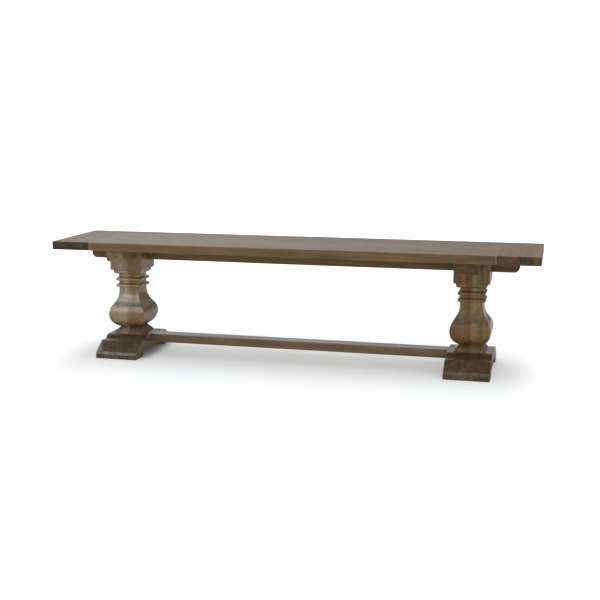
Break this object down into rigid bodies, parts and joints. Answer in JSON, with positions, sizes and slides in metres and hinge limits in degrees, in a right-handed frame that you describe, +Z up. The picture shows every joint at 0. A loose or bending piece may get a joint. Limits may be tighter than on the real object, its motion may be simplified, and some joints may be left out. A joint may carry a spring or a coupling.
{
  "type": "trestle bench",
  "caption": "Long plank bench seat with cross end boards, carried on square vase-shaped pedestal posts with sled feet and joined by a low stretcher.",
  "frame": {"origin": "centre of the bench's footprint, on the floor", "axes": "+X along the bench, +Y from front to back, +Z up"},
  "size_m": [1.862, 0.392, 0.46],
  "materials": {
    "seat_wood": "satin lacquer over grey-brown stain",
    "end_board_wood": "satin lacquer over grey-brown stain",
    "post_wood": "satin lacquer over grey-brown stain",
    "frame_wood": "satin lacquer over grey-brown stain",
    "dowel_wood": "bare sanded hardwood",
    "zinc_steel": "bright zinc plate"
  },
  "bodies": {
    "root": {"cleat_left": "frame_wood", "cleat_right": "frame_wood", "cleat_screws_left": "zinc_steel", "cleat_screws_right": "zinc_steel", "foot_dowels_left": "dowel_wood", "foot_dowels_right": "dowel_wood", "foot_left": "frame_wood", "foot_right": "frame_wood", "foot_screws_left": "zinc_steel", "foot_screws_right": "zinc_steel", "foot_washers_left": "zinc_steel", "foot_washers_right": "zinc_steel", "head_screws_left": "zinc_steel", "head_screws_right": "zinc_steel", "post_cheek_inner_left": "post_wood", "post_cheek_inner_right": "post_wood", "post_cheek_outer_left": "post_wood", "post_cheek_outer_right": "post_wood", "post_core_left": "post_wood", "post_core_right": "post_wood", "rail_screws": "zinc_steel", "seat_board_1": "seat_wood", "seat_board_2": "seat_wood", "seat_board_3": "seat_wood", "seat_board_4": "seat_wood", "seat_board_5": "seat_wood", "seat_end_left": "end_board_wood", "seat_end_pegs_left": "dowel_wood", "seat_end_pegs_right": "dowel_wood", "seat_end_right": "end_board_wood", "seat_rail": "frame_wood", "stretcher": "frame_wood", "stretcher_bolt_left": "zinc_steel", "stretcher_bolt_right": "zinc_steel", "stretcher_nut_left": "zinc_steel", "stretcher_nut_right": "zinc_steel", "stretcher_plug_left": "frame_wood", "stretcher_plug_right": "frame_wood", "stretcher_washer_left": "zinc_steel", "stretcher_washer_right": "zinc_steel"}
  },
  "joints": []
}
